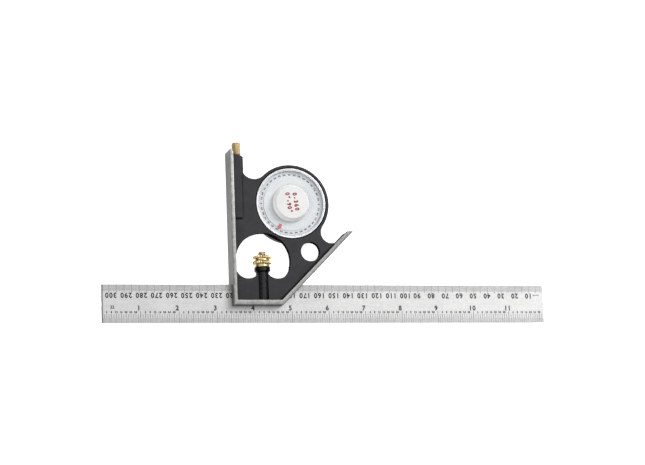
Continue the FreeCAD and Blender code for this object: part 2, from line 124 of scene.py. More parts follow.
# Each soft light: its name, its place and side in metres, and its power in watts.
LIGHTS = (
    ("key", (0.95, 0.8, 1.3), 0.8, 24),
    ("top", (0.1, 0.2, 2.4), 2.0, 15),
    ("fill", (-1.3, -0.5, 1.3), 1.2, 14),
)


def make_light(name, place, side, power):
    """A soft square studio light that faces the frame's origin."""
    data = bpy.data.lights.new(name, "AREA")
    data.shape = "SQUARE"
    data.size = side
    data.energy = power
    light = bpy.data.objects.new(name, data)
    bpy.context.scene.collection.objects.link(light)
    light.location = place
    light.rotation_euler = (-Vector(place)).to_track_quat("-Z", "Y").to_euler()


def make_stage():
    """A plain white table, a pale room and the soft lights."""
    mesh = bpy.data.meshes.new("floor")
    signs = ((-1, -1), (1, -1), (1, 1), (-1, 1))
    corners = [(x * FLOOR_HALF, y * FLOOR_HALF, 0) for x, y in signs]
    mesh.from_pydata(corners, [], [(0, 1, 2, 3)])
    floor = bpy.data.objects.new("floor", mesh)
    bpy.context.scene.collection.objects.link(floor)
    floor.location.z = FLOOR_Z
    tree, white = new_material("table_white", roughness=0.9, specular=0.1)
    tree.shader.inputs["Base Color"].default_value = (TABLE_TONE, TABLE_TONE, TABLE_TONE, 1)
    tree.shader.inputs["Emission Color"].default_value = (1, 1, 1, 1)
    tree.shader.inputs["Emission Strength"].default_value = TABLE_GLOW
    mesh.materials.append(white)
    world = bpy.data.worlds.new("pale_room")
    world.use_nodes = True
    background = world.node_tree.nodes["Background"]
    background.inputs["Color"].default_value = (1, 1, 1, 1)
    background.inputs["Strength"].default_value = ROOM_LIGHT
    bpy.context.scene.world = world
    for light in LIGHTS:
        make_light(*light)
    bpy.context.scene.view_settings.view_transform = "Standard"


# ---------------------------------------------------------------------- materials

# A wave texture at scale 1 turns through this many radians in a metre.
WAVE_UNIT = 20
# A dark brass stain, also the colour of the painted shade in the brass's hollows.
DARK_TARNISH_AND_SHADE = (0.1, 0.06, 0.02)


class Tree:
    """Short names for the few node steps that the materials share."""

    def __init__(self, tree):
        self.tree = tree
        self.shader = tree.nodes["Principled BSDF"]
        self.coords = tree.nodes.new("ShaderNodeTexCoord").outputs["Object"]

    def link(self, source, target):
        self.tree.links.new(source, target)

    def drive(self, name, source):
        """Feeds one of the Principled shader's inputs."""
        self.link(source, self.shader.inputs[name])

    def uneven_gloss(self, noise, low, high):
        """Lets the roughness follow a noise, between low and high."""
        self.drive("Roughness", self.span(noise, 0.3, 0.7, low, high))

    def stretched(self, scale):
        """Object coordinates scaled per axis, for streaks along one direction."""
        node = self.tree.nodes.new("ShaderNodeMapping")
        node.inputs["Scale"].default_value = scale
        self.link(self.coords, node.inputs["Vector"])
        return node.outputs["Vector"]

    def noise(self, scale, detail, rough=0.55, vector=None):
        node = self.tree.nodes.new("ShaderNodeTexNoise")
        node.inputs["Scale"].default_value = scale
        node.inputs["Detail"].default_value = detail
        node.inputs["Roughness"].default_value = rough
        self.link(vector or self.coords, node.inputs["Vector"])
        return node.outputs["Fac"]

    def span(self, value, low, high, out_low, out_high):
        """value from low..high mapped to out_low..out_high, and held there."""
        node = self.tree.nodes.new("ShaderNodeMapRange")
        for name, number in (
            ("From Min", low), ("From Max", high), ("To Min", out_low), ("To Max", out_high)
        ):
            node.inputs[name].default_value = number
        self.link(value, node.inputs["Value"])
        return node.outputs["Result"]

    def blend(self, factor, colour_a, colour_b):
        node = self.tree.nodes.new("ShaderNodeMix")
        node.data_type = "RGBA"
        self.link(factor, node.inputs["Factor"])
        slots = [s for s in node.inputs if s.type == "RGBA"]
        for socket, colour in zip(slots, (colour_a, colour_b)):
            if isinstance(colour, tuple):
                socket.default_value = (*colour, 1)
            else:
                self.link(colour, socket)
        return [s for s in node.outputs if s.type == "RGBA"][0]

    def combine(self, operation, first, second):
        node = self.tree.nodes.new("ShaderNodeMath")
        node.operation = operation
        self.link(first, node.inputs[0])
        self.link(second, node.inputs[1])
        return node.outputs[0]

    def add(self, first, second):
        return self.combine("ADD", first, second)

    def times(self, first, second):
        return self.combine("MULTIPLY", first, second)

    def smaller(self, first, second):
        return self.combine("MINIMUM", first, second)

    def along(self, direction, low, high, out_low, out_high):
        """How far a point lies along direction, mapped from low..high in millimetres."""
        node = self.tree.nodes.new("ShaderNodeVectorMath")
        node.operation = "DOT_PRODUCT"
        self.link(self.coords, node.inputs[0])
        node.inputs[1].default_value = direction
        start = ORIGIN.dot(Vector(direction))
        first, last = start + low * MM, start + high * MM
        return self.span(node.outputs["Value"], first, last, out_low, out_high)

    def depth_into(self, outward, reach, depth):
        """0 on a flange's outer face, rising to 1 at depth, both in millimetres.

        reach is how far the outer face lies from the working origin along outward.
        """
        return self.along(outward, reach, reach - depth, 0.0, 1.0)

    def hollows(self, distance):
        """1 on open surfaces, falling towards 0 deep in the hollows."""
        node = self.tree.nodes.new("ShaderNodeAmbientOcclusion")
        node.samples = 6
        node.inputs["Distance"].default_value = distance
        return node.outputs["AO"]

    def bump(self, height, strength, distance, base=None):
        node = self.tree.nodes.new("ShaderNodeBump")
        node.inputs["Strength"].default_value = strength
        node.inputs["Distance"].default_value = distance
        self.link(height, node.inputs["Height"])
        if base is not None:
            self.link(base, node.inputs["Normal"])
        return node.outputs["Normal"]

    def soft_edges(self, radius):
        """The surface normal with sharp edges rounded over a small radius."""
        node = self.tree.nodes.new("ShaderNodeBevel")
        node.samples = 4
        node.inputs["Radius"].default_value = radius
        return node.outputs["Normal"]

    def edge_mask(self, soft_normal):
        """0 on flat stretches, rising to 1 along the softened edges."""
        geometry = self.tree.nodes.new("ShaderNodeNewGeometry")
        dot = self.tree.nodes.new("ShaderNodeVectorMath")
        dot.operation = "DOT_PRODUCT"
        self.link(geometry.outputs["Normal"], dot.inputs[0])
        self.link(soft_normal, dot.inputs[1])
        return self.span(dot.outputs["Value"], 0.998, 0.93, 0.0, 1.0)


def new_material(name, metallic=0.0, roughness=0.4, specular=0.5):
    """A new material, and the Tree that its detail is built with."""
    material = bpy.data.materials.new(name)
    material.use_nodes = True
    tree = Tree(material.node_tree)
    tree.shader.inputs["Metallic"].default_value = metallic
    tree.shader.inputs["Roughness"].default_value = roughness
    tree.shader.inputs["Specular IOR Level"].default_value = specular
    return tree, material


def black_enamel():
    """Stoved black enamel: faint orange peel, paler worn edges, and painted shade in the corners.
    """
    tree, material = new_material("black_enamel", roughness=0.42, specular=0.22)
    soft = tree.soft_edges(0.5 * MM)
    mottle = tree.noise(160, 5, 0.6)
    tone = tree.span(mottle, 0.3, 0.7, 0, 1)
    base = tree.blend(tone, (0.013, 0.013, 0.016), (0.024, 0.024, 0.028))
    wear = tree.span(tree.edge_mask(soft), 0.2, 1.0, 0, 0.6)
    worn = tree.blend(wear, base, (0.12, 0.12, 0.125))
    # Painted shade: deep in corners and hollows the colour falls to black and the gloss fades.
    open_to_light = tree.hollows(1.4 * MM)
    corners = tree.span(open_to_light, 0.55, 0.85, 0, 1)
    tree.drive("Base Color", tree.blend(corners, (0.001, 0.001, 0.001), worn))
    tree.drive("Specular IOR Level", tree.span(open_to_light, 0.55, 0.85, 0.0, 0.2))
    tree.uneven_gloss(tree.noise(420, 3), 0.34, 0.5)
    peel = tree.bump(tree.noise(1500, 2), 0.12, 0.1 * MM, soft)
    wave = tree.bump(tree.noise(120, 3), 0.16, 0.5 * MM, peel)
    tree.drive("Normal", wave)
    return material


def plain_black(name, colour, paler, rough, specular):
    """Black paint with less texture, for the turned boss, and as painted shade on the openings'
    walls.
    """
    tree, material = new_material(name, roughness=rough, specular=specular)
    soft = tree.soft_edges(0.25 * MM)
    mottle = tree.noise(180, 4, 0.6)
    tree.drive("Base Color", tree.blend(tree.span(mottle, 0.35, 0.65, 0, 1), colour, paler))
    tree.uneven_gloss(tree.noise(420, 3), rough - 0.05, rough + 0.08)
    tree.drive("Normal", tree.bump(tree.noise(700, 3), 0.12, 0.15 * MM, soft))
    return material


def ground_metal(name, dark, light, rough, streak):
    """Ground or brushed metal, with streaks along one direction and mottling."""
    tree, material = new_material(name, metallic=1.0, roughness=rough)
    soft = tree.soft_edges(0.25 * MM)
    lines = tree.noise(1.0, 3, 0.6, tree.stretched(streak))
    cloud = tree.noise(55, 4, 0.6)
    mixed = tree.add(tree.span(lines, 0.3, 0.7, 0, 0.6), tree.span(cloud, 0.35, 0.65, 0, 0.4))
    tree.drive("Base Color", tree.blend(mixed, dark, light))
    tree.uneven_gloss(lines, rough - 0.06, rough + 0.08)
    tree.drive("Normal", tree.bump(lines, 0.1, 0.05 * MM, soft))
    return material


def satin_rule():
    """The rule's satin steel: grained, streaked lengthwise, with painted shade along its cut end.
    """
    tree, material = new_material("satin_rule", metallic=0.6, roughness=0.36)
    soft = tree.soft_edges(0.25 * MM)
    lines = tree.noise(1.0, 3, 0.6, tree.stretched((40, 1800, 1800)))
    cloud = tree.noise(55, 4, 0.6)
    grain = tree.noise(1100, 3, 0.6)
    mixed = tree.add(tree.span(lines, 0.3, 0.7, 0, 0.35), tree.span(cloud, 0.35, 0.65, 0, 0.25))
    grained = tree.add(mixed, tree.span(grain, 0.36, 0.64, 0, 0.4))
    steel = tree.blend(grained, (0.37, 0.37, 0.367), (0.525, 0.525, 0.52))
    # Painted shade: a dark band within about a millimetre of the inch zero end.
    clear_of_end_shade = tree.along((1, 0, 0), 0.5, 1.1, 0, 1)
    tree.drive("Base Color", tree.blend(clear_of_end_shade, (0.14, 0.14, 0.138), steel))
    tree.uneven_gloss(grain, 0.3, 0.44)
    tree.drive("Normal", tree.bump(lines, 0.1, 0.05 * MM, soft))
    return material


def satin_ring():
    """The bezel's bright satin finish, nearly even in tone."""
    tree, material = new_material("bright_ring", metallic=0.6, roughness=0.45)
    tone = tree.span(tree.noise(90, 3), 0.35, 0.65, 0, 1)
    tree.drive("Base Color", tree.blend(tone, (0.60, 0.61, 0.63), (0.68, 0.69, 0.71)))
    tree.uneven_gloss(tree.noise(200, 2), 0.42, 0.5)
    tree.drive("Normal", tree.bump(tree.noise(300, 2), 0.02, 0.02 * MM))
    return material


def machined_land():
    """The flanges' ground front edges: mottled and finely pitted, with painted shading that is
    darker by the outer edge, low on the stock and far out on the mitre.
    """
    tree, material = new_material("machined_land", metallic=1.0, roughness=0.42)
    soft = tree.soft_edges(0.35 * MM)
    stock = tree.depth_into((-1.0, 0.0, 0.0), -HEAD_LOW.x, STOCK_WALL)
    base = tree.depth_into((0.0, -1.0, 0.0), -HEAD_LOW.y, BASE_WALL)
    mitre = tree.depth_into(tuple(ACROSS_MITRE), MITRE_OFFSET / math.sqrt(2), MITRE_WALL)
    inward = tree.smaller(tree.smaller(stock, base), mitre)
    mottle = tree.noise(420, 4, 0.65)
    # Painted shading: the land darker by its outer edge and paler inward.
    painted_light_inward = tree.span(inward, 0.0, 0.9, 0.0, 0.62)
    tone = tree.add(painted_light_inward, tree.span(mottle, 0.32, 0.68, 0.0, 0.42))
    ground = tree.blend(tone, (0.114, 0.116, 0.113), (0.456, 0.456, 0.445))
    pits = tree.span(tree.noise(1300, 2, 0.5), 0.62, 0.72, 0.0, 0.7)
    pitted = tree.blend(pits, ground, (0.1, 0.1, 0.098))
    # Painted shading: darker low on the stock and far out on the mitre.
    up_the_stock = tree.along((0, 1, 0), 20, 85, 0.76, 1.0)
    out_on_the_mitre = tree.along((1, 0, 0), 128, 160, 1.0, 0.68)
    painted_light_falloff = tree.times(up_the_stock, out_on_the_mitre)
    tree.drive("Base Color", tree.blend(painted_light_falloff, (0, 0, 0), pitted))
    tree.uneven_gloss(mottle, 0.36, 0.5)
    tree.drive("Normal", tree.bump(mottle, 0.25, 0.12 * MM, soft))
    return material


def machined_face():
    """The ground working faces, darkened from the lands' ground metal as painted shade: fine
    lines along each face, and more painted shade up the stock.
    """
    tree, material = new_material(
        "machined_face", metallic=0.3, roughness=0.45, specular=0.1
    )
    soft = tree.soft_edges(0.25 * MM)
    lines = tree.noise(1.0, 3, 0.6, tree.stretched((60, 60, 1500)))
    cloud = tree.noise(55, 4, 0.6)
    mixed = tree.add(tree.span(lines, 0.35, 0.65, 0, 0.65), tree.span(cloud, 0.35, 0.65, 0, 0.35))
    # These tones are the ground metal darkened as painted shade.
    ground = tree.blend(mixed, (0.045, 0.046, 0.042), (0.125, 0.126, 0.119))
    # Painted shade: the face darker up the stock.
    painted_light_falloff = tree.along((0, 1, 0), 60, 95, 1.0, 0.55)
    tree.drive("Base Color", tree.blend(painted_light_falloff, (0, 0, 0), ground))
    tree.uneven_gloss(lines, 0.34, 0.48)
    tree.drive("Normal", tree.bump(lines, 0.1, 0.05 * MM, soft))
    return material


def white_cap():
    """Gloss white plastic, with painted light: the sloping side whiter than the flat top."""
    tree, material = new_material("cap_white", roughness=0.4, specular=0.5)
    tone = tree.span(tree.noise(60, 3), 0.35, 0.65, 0, 1)
    # Painted light: one plastic in two tones, the side lit whiter and the top held darker.
    top = tree.blend(tone, (0.61, 0.605, 0.60), (0.66, 0.655, 0.65))
    side = tree.blend(tone, (0.92, 0.92, 0.91), (0.95, 0.95, 0.945))
    on_top = tree.along((0, 0, 1), CAP_HIGH_Z - 0.4, CAP_HIGH_Z - 0.1, 0, 1)
    tree.drive("Base Color", tree.blend(on_top, side, top))
    tree.uneven_gloss(tree.noise(300, 3), 0.36, 0.46)
    tree.drive("Normal", tree.bump(tree.noise(1200, 2), 0.04, 0.05 * MM))
    return material


def brass(name, dark, light, rough, tarnish_and_shade):
    """Turned brass: faint cutting lines, cloudy colour, stained spots and painted shade in the
    hollows.
    """
    tree, material = new_material(name, metallic=1.0, roughness=rough)
    cloud = tree.noise(320, 5, 0.65)
    base = tree.blend(tree.span(cloud, 0.35, 0.68, 0, 1), light, dark)
    spots = tree.noise(900, 3, 0.6)
    stained = tree.blend(tree.span(spots, 0.58, 0.75, 0, 0.5), base, tarnish_and_shade)
    # Painted shade: the hollows take the dark stain colour.
    shaded = tree.blend(tree.span(tree.hollows(2.0 * MM), 0.35, 0.9, 0.9, 0), stained, tarnish_and_shade)
    tree.drive("Base Color", shaded)
    tree.uneven_gloss(cloud, rough - 0.05, rough + 0.12)
    tree.drive("Normal", tree.bump(tree.noise(1400, 2), 0.1, 0.05 * MM))
    return material


def threaded_brass():
    """Brass with fine grooves at the thread's pitch."""
    material = brass("threaded_brass", (0.75, 0.64, 0.42), (0.95, 0.87, 0.66), 0.25, DARK_TARNISH_AND_SHADE)
    tree = Tree(material.node_tree)
    groove = tree.tree.nodes.new("ShaderNodeTexWave")
    groove.bands_direction = "Y"
    groove.inputs["Scale"].default_value = 2 * math.pi / (WAVE_UNIT * THREAD_PITCH * MM)
    tree.link(tree.coords, groove.inputs["Vector"])
    tree.drive("Normal", tree.bump(groove.outputs["Fac"], 1.0, 0.25 * MM))
    return material


def printed_ink(name, colour, worn):
    """Printed or etched ink, a little uneven in tone."""
    tree, material = new_material(name, roughness=0.5, specular=0.3)
    tone = tree.span(tree.noise(1800, 3), 0.3, 0.7, 0, 1)
    tree.drive("Base Color", tree.blend(tone, colour, worn))
    tree.drive("Normal", tree.bump(tree.noise(4000, 2), 0.05, 0.01 * MM))
    return material


def moulded_plastic(name, dark, light, rough):
    """Moulded plastic with a fine grain and a little variation in tone."""
    tree, material = new_material(name, roughness=rough, specular=0.5)
    tone = tree.span(tree.noise(60, 3), 0.35, 0.65, 0, 1)
    tree.drive("Base Color", tree.blend(tone, dark, light))
    tree.uneven_gloss(tree.noise(300, 3), rough - 0.04, rough + 0.06)
    tree.drive("Normal", tree.bump(tree.noise(1200, 2), 0.04, 0.05 * MM))
    return material


def spun_plate(name, dark, light, rough):
    """A satin plate with fine rings spun about the dial's axis."""
    tree, material = new_material(name, roughness=rough)
    mapping = tree.tree.nodes.new("ShaderNodeMapping")
    mapping.inputs["Location"].default_value = tuple(-at(DIAL.x, DIAL.y, 0))
    tree.link(tree.coords, mapping.inputs["Vector"])
    rings = tree.tree.nodes.new("ShaderNodeTexWave")
    rings.wave_type = "RINGS"
    rings.rings_direction = "Z"
    rings.inputs["Scale"].default_value = 900
    rings.inputs["Distortion"].default_value = 0.6
    rings.inputs["Detail"].default_value = 2
    tree.link(mapping.outputs["Vector"], rings.inputs["Vector"])
    tone = tree.span(tree.noise(70, 3), 0.3, 0.7, 0, 1)
    tree.drive("Base Color", tree.blend(tone, dark, light))
    tree.uneven_gloss(tree.noise(220, 3), rough - 0.03, rough + 0.05)
    tree.drive("Normal", tree.bump(rings.outputs["Fac"], 0.03, 0.02 * MM))
    return material


def clear_window():
    """The clear lens: see-through, with a gloss that grows at low angles."""
    tree, material = new_material("clear_window", metallic=1.0, roughness=0.06)
    tree.shader.inputs["Base Color"].default_value = (1, 1, 1, 1)
    tree.uneven_gloss(tree.noise(80, 3), 0.03, 0.1)
    tree.drive("Normal", tree.bump(tree.noise(30, 2), 0.05, 0.2 * MM))
    nodes = tree.tree.nodes
    clear = nodes.new("ShaderNodeBsdfTransparent")
    clear.inputs["Color"].default_value = (0.97, 0.975, 0.98, 1)
    slant = nodes.new("ShaderNodeLayerWeight")
    slant.inputs["Blend"].default_value = 0.5
    steep = nodes.new("ShaderNodeMath")
    steep.operation = "POWER"
    steep.inputs[1].default_value = 5.0
    tree.link(slant.outputs["Facing"], steep.inputs[0])
    mix = nodes.new("ShaderNodeMixShader")
    tree.link(tree.span(steep.outputs[0], 0.0, 1.0, 0.039, 1.0), mix.inputs["Fac"])
    tree.link(clear.outputs["BSDF"], mix.inputs[1])
    tree.link(tree.shader.outputs["BSDF"], mix.inputs[2])
    tree.link(mix.outputs["Shader"], nodes["Material Output"].inputs["Surface"])
    return material


def make_materials():
    return {
        "enamel": black_enamel(),
        "gloss_black": plain_black(
            "gloss_black", (0.001, 0.001, 0.0015), (0.003, 0.003, 0.004), 0.16, 0.3
        ),
        # Painted shade: an unreflecting black for the walls of the openings and the finder's
        # mouth, which are enamel like the web.
        "painted_shade_black": plain_black(
            "painted_shade_black", (0.003, 0.003, 0.0035), (0.006, 0.006, 0.0065), 0.6, 0.0
        ),
        # The lands carry painted shading across and along them.
        "land": machined_land(),
        # Painted shade: the ground metal darkened for the working faces.
        "shaded_working_face": machined_face(),
        "rule": satin_rule(),
        "nut_brass": brass(
            "nut_brass", (0.55, 0.40, 0.17), (0.88, 0.72, 0.42), 0.3, DARK_TARNISH_AND_SHADE
        ),
        "knob_brass": brass(
            "knob_brass", (0.28, 0.205, 0.095), (0.41, 0.325, 0.185), 0.42, (0.16, 0.105, 0.045)
        ),
        "steel": ground_metal(
            "turned_steel", (0.36, 0.36, 0.37), (0.52, 0.52, 0.53), 0.3, (1500, 80, 1500)
        ),
        "casting": ground_metal(
            "grey_casting", (0.25, 0.25, 0.26), (0.38, 0.38, 0.39), 0.6, (200, 200, 200)
        ),
        "black_ink": printed_ink("black_ink", (0.008, 0.008, 0.009), (0.03, 0.03, 0.032)),
        "grey_ink": printed_ink("grey_ink", (0.24, 0.25, 0.26), (0.33, 0.34, 0.35)),
        "red_ink": printed_ink("red_ink", (0.44, 0.04, 0.036), (0.54, 0.09, 0.075)),
        "dark_red_ink": printed_ink("dark_red_ink", (0.22, 0.010, 0.009), (0.30, 0.022, 0.018)),
        "dial": spun_plate("dial_satin", (0.59, 0.60, 0.61), (0.63, 0.64, 0.65), 0.5),
        "disc": spun_plate("disc_satin", (0.60, 0.61, 0.615), (0.64, 0.65, 0.655), 0.5),
        "cap": white_cap(),
        "case": moulded_plastic("case_grey", (0.50, 0.51, 0.52), (0.58, 0.59, 0.60), 0.45),
        "bright": satin_ring(),
        "window": clear_window(),
        "threaded": threaded_brass(),
        "spacer": moulded_plastic("spacer_grey", (0.46, 0.47, 0.49), (0.56, 0.57, 0.59), 0.35),
    }


# ------------------------------------------------------------------- mesh helpers

def mesh_object(name, vertices, faces, material, smooth_angle=None):
    """A closed mesh piece, with its normals outward and its corners kept crisp."""
    mesh = bpy.data.meshes.new(name)
    mesh.from_pydata([tuple(v) for v in vertices], [], faces)
    mesh.materials.append(material)
    work = bmesh.new()
    work.from_mesh(mesh)
    bmesh.ops.recalc_face_normals(work, faces=work.faces)
    work.to_mesh(mesh)
    work.free()
    if smooth_angle is not None:
        mesh.shade_smooth()
        mesh.set_sharp_from_angle(angle=math.radians(smooth_angle))
    piece = bpy.data.objects.new(name, mesh)
    bpy.context.scene.collection.objects.link(piece)
    return piece


def turned(name, profile, centre, axis, material, segments, swell=None, smooth_angle=35):
    """A turned piece from a closed (radius, height) profile, in working millimetres.

    axis is "y" or "z". swell(angle, radius) adds to the radius, for knurling.
    """
    vertices = []
    for step in range(segments):
        angle = 2 * math.pi * step / segments
        for radius, height in profile:
            grown = radius + (swell(angle, radius) if swell else 0.0)
            across, along = grown * math.cos(angle), grown * math.sin(angle)
            if axis == "z":
                vertices.append(at(centre[0] + across, centre[1] + along, height))
            else:
                vertices.append(at(centre[0] + across, height, centre[1] + along))
    count = len(profile)
    faces = []
    for step in range(segments):
        here, there = step * count, ((step + 1) % segments) * count
        for row in range(count):
            after = (row + 1) % count
            faces.append((here + row, there + row, there + after, here + after))
    piece = mesh_object(name, vertices, faces, material, smooth_angle)
    close_poles(piece)
    return piece


def close_poles(piece):
    """Merge the points that fall together on a turned piece's axis."""
    work = bmesh.new()
    work.from_mesh(piece.data)
    bmesh.ops.remove_doubles(work, verts=work.verts, dist=1e-7)
    bmesh.ops.recalc_face_normals(work, faces=work.faces)
    work.to_mesh(piece.data)
    work.free()


def rounded(points, steps=4):
    """A closed profile whose corners are rounded, each in this many steps.

    Each point is a radius, a height and how far its corner is rounded.
    """
    out = []
    count = len(points)
    for index, point in enumerate(points):
        here = Vector(point[:2])
        before = Vector(points[index - 1][:2]) - here
        after = Vector(points[(index + 1) % count][:2]) - here
        reach = min(point[2], 0.45 * before.length, 0.45 * after.length)
        if reach < 1e-6:
            out.append(tuple(here))
            continue
        first = here + before.normalized() * reach
        last = here + after.normalized() * reach
        for step in range(steps + 1):
            t = step / steps
            blend = first * (1 - t) ** 2 + here * 2 * t * (1 - t) + last * t ** 2
            out.append(tuple(blend))
    return out


INK_SINK = 0.03
INK_RISE = 0.015


def ink_on(face):
    """The heights between which ink printed on a face lies, in millimetres."""
    return face - INK_SINK, face + INK_RISE


class Marks:
    """Many small closed marks gathered into one mesh."""

    def __init__(self):
        self.vertices = []
        self.faces = []

    def add(self, points, faces):
        start = len(self.vertices)
        self.vertices.extend(points)
        self.faces.extend(tuple(start + index for index in face) for face in faces)

    def bar(self, centre, along, length, width, face):
        """A thin bar of ink on a face; along is its direction, in radians."""
        ahead = Vector((math.cos(along), math.sin(along))) * length / 2
        side = Vector((-math.sin(along), math.cos(along))) * width / 2
        middle = Vector(centre)
        corners = (
            middle - ahead - side, middle + ahead - side,
            middle + ahead + side, middle - ahead + side,
        )
        self.slab(corners, *ink_on(face))

    def slab(self, outline, low, high):
        """A flat shape of any outline, as a thin closed slab."""
        count = len(outline)
        points = [at(x, y, z) for z in (low, high) for x, y in outline]
        sides = [(i, (i + 1) % count, count + (i + 1) % count, count + i) for i in range(count)]
        caps = [tuple(reversed(range(count))), tuple(range(count, 2 * count))]
        self.add(points, caps + sides)

    def piece(self, name, material):
        return mesh_object(name, self.vertices, self.faces, material)


def make_figures(characters, weight):
    """Each figure as a thin closed mesh of unit height; weight thickens its strokes."""
    figures = {}
    for character in characters:
        curve = bpy.data.curves.new("figure", "FONT")
        curve.body = character
        curve.size = 1.0
        curve.extrude = 0.5
        curve.offset = weight
        curve.resolution_u = 4
        holder = bpy.data.objects.new("figure", curve)
        bpy.context.scene.collection.objects.link(holder)
        bpy.context.view_layer.update()
        graph = bpy.context.evaluated_depsgraph_get()
        mesh = bpy.data.meshes.new_from_object(holder.evaluated_get(graph))
        work = bmesh.new()
        work.from_mesh(mesh)
        bmesh.ops.remove_doubles(work, verts=work.verts, dist=1e-5)
        work.verts.index_update()
        points = [v.co.copy() for v in work.verts]
        faces = [tuple(v.index for v in f.verts) for f in work.faces]
        work.free()
        figures[character] = (points, faces)
        bpy.data.objects.remove(holder)
        bpy.data.curves.remove(curve)
        bpy.data.meshes.remove(mesh)
    tall = figures["0"][0]
    low = min(p.y for p in tall)
    height = max(p.y for p in tall) - low
    for points, _ in figures.values():
        left = min(p.x for p in points)
        right = max(p.x for p in points)
        for p in points:
            p.x = (p.x - (left + right) / 2) / height
            p.y = (p.y - low) / height - 0.5
    return figures


def write(marks, figures, text, centre, style, angle, face):
    """Adds the figures of text about centre, in ink on a face.

    style is their height, their spacing over that height, and a factor on their width.
    """
    height, pitch, squeeze = style
    low, high = ink_on(face)
    turn = Matrix.Rotation(angle, 2)
    for index, character in enumerate(text):
        points, faces = figures[character]
        offset = (index - (len(text) - 1) / 2) * pitch * height
        placed = []
        for p in points:
            flat = turn @ Vector((p.x * height * squeeze + offset, p.y * height))
            z = high if p.z > 0 else low
            placed.append(at(centre[0] + flat.x, centre[1] + flat.y, z))
        marks.add(placed, faces)


# ---------------------------------------------------------------------- CAD nodes

ALONG_X = Vector((1, 0, 0))
ALONG_Y = Vector((0, 1, 0))
BOSS_R = 4.2
BOSS_SLACK_IN = 0.1
BOSS_SLACK_OUT = 0.2
COLLAR_R = 5.5
COLLAR_LOW_Y = 20.5
COLLAR_TOP_Y = 24.5
WEB_HALF = 2.5
RING_MOUTH_R = 24.6
# Slack on a distance, in millimetres, and limits on the parts of a face's normal.
CLOSE = 0.01
FACING = 0.9
UPRIGHT = 0.3
SLOPING = 0.98
# Two of these are painted shade: the working faces' darkened copy of the ground metal, and the
# unreflecting black of the web's walls and the finder's mouth.
HEAD_FINISHES = ("enamel", "land", "shaded_working_face", "gloss_black", "painted_shade_black")


def on_boss(middle):
    """Whether a point lies on the boss or its collar, clear of the web's faces."""
    aside = abs(middle.x - NUT.x)
    if middle.y > COLLAR_TOP_Y or aside > COLLAR_R:
        return False
    reach = math.hypot(aside, middle.z)
    if middle.y > COLLAR_LOW_Y:
        return reach > BOSS_R - CLOSE
    on_surface = BOSS_R - BOSS_SLACK_IN < reach < BOSS_R + BOSS_SLACK_OUT
    return abs(middle.z) > WEB_HALF + CLOSE and on_surface


def in_wall(middle, normal):
    """Whether a face belongs to the upright wall of an opening or bay in the web."""
    return abs(middle.z) < WEB_HALF and abs(normal.z) < UPRIGHT


def in_ring_mouth(middle, normal):
    """Whether a face belongs to the sloping mouth round the angle finder."""
    reach = math.hypot(middle.x - DIAL.x, middle.y - DIAL.y)
    return reach < RING_MOUTH_R and abs(normal.z) < SLOPING


def head_finish(middle, normal):
    """Which of HEAD_FINISHES a face of the head takes."""
    flanges = (
        (middle.x < HEAD_LOW.x + STOCK_WALL + CLOSE, -ALONG_X),
        (middle.y < HEAD_LOW.y + BASE_WALL + CLOSE, -ALONG_Y),
        (middle.x - middle.y > MITRE_INNER - CLOSE, ACROSS_MITRE),
    )
    on_land = False
    for belongs, outward in flanges:
        if not belongs:
            continue
        if normal.dot(outward) > FACING:
            return "shaded_working_face"
        if normal.dot(outward) > -FACING:
            on_land = True
    if on_land:
        return "land"
    if on_boss(middle):
        return "gloss_black"
    # The walls and the finder's mouth take painted shade: an unreflecting black.
    if in_wall(middle, normal) or in_ring_mouth(middle, normal):
        return "painted_shade_black"
    return "enamel"


def paint_head(made):
    """Black casting, with ground front edges and ground working faces; the working faces are
    darkened and the walls blackened as painted shade.
    """
    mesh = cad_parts["head"].data
    mesh.materials.clear()
    for key in HEAD_FINISHES:
        mesh.materials.append(made[key])
    for face in mesh.polygons:
        middle = (face.center - ORIGIN) / MM
        face.material_index = HEAD_FINISHES.index(head_finish(middle, face.normal))


CAD_FINISHES = {
    "blade": "rule",
    "lock_bolt": "threaded",
    "lock_spring": "steel",
    "spring_washer": "steel",
    "scriber_pin": "steel",
    "scriber_bush": "knob_brass",
    "finder_case": "case",
    "rear_bearing": "knob_brass",
    "front_bearing": "knob_brass",
    "dial_ring": "dial",
    "lens_spacer": "spacer",
    "pointer_disc": "disc",
    "pendulum_weight": "casting",
    "weight_rivets": "steel",
    "pendulum_hub": "knob_brass",
    "pivot_pin": "steel",
}


def paint_cad_nodes(made):
    """Finishes for the CAD nodes that show; the rule's inch zero end is bare metal, darkened as
    painted shade.
    """
    paint_head(made)
    for node, key in CAD_FINISHES.items():
        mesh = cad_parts[node].data
        mesh.materials.clear()
        mesh.materials.append(made[key])
    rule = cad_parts["blade"].data
    # Painted shade: the cut end takes the working faces' darkened metal.
    rule.materials.append(made["shaded_working_face"])
    for face in rule.polygons:
        if face.normal.x < -FACING:
            face.material_index = 1


# --------------------------------------------------------------- rule graduations

METRIC_STEP = 0.5
METRIC_INK = 0.14
METRIC_THICK_EVERY = 10
METRIC_FIGURES_Y = 5.45
INCH_PARTS = 32
INCH_INK = 0.19
INCH_FIGURES_Y = -2.85
SMALL_EVERY = 4
SMALL_FIGURES_Y = -5.6
SMALL_SHIFT = -0.1
DIVISION_PLACE = (6.8, -2.35)
LONG_TICK_GAIN = 1.7
EVEN_TICK_GAIN = 1.25
ODD_TICK_GAIN = 0.8
# A graduation at every so many steps, and how far in it reaches.
METRIC_DEPTHS = ((20, 5.6), (10, 5.3), (2, 4.5), (1, 4.2))
INCH_DEPTHS = ((INCH_PARTS, 7.7), (4, 6.2), (2, 5.7), (1, 3.1))
# How far figures stand to the right of their graduation, by their number of digits.
METRIC_SHIFTS = {2: -0.45, 3: 1.35}
INCH_SHIFTS = {1: -1.2, 2: -0.7}
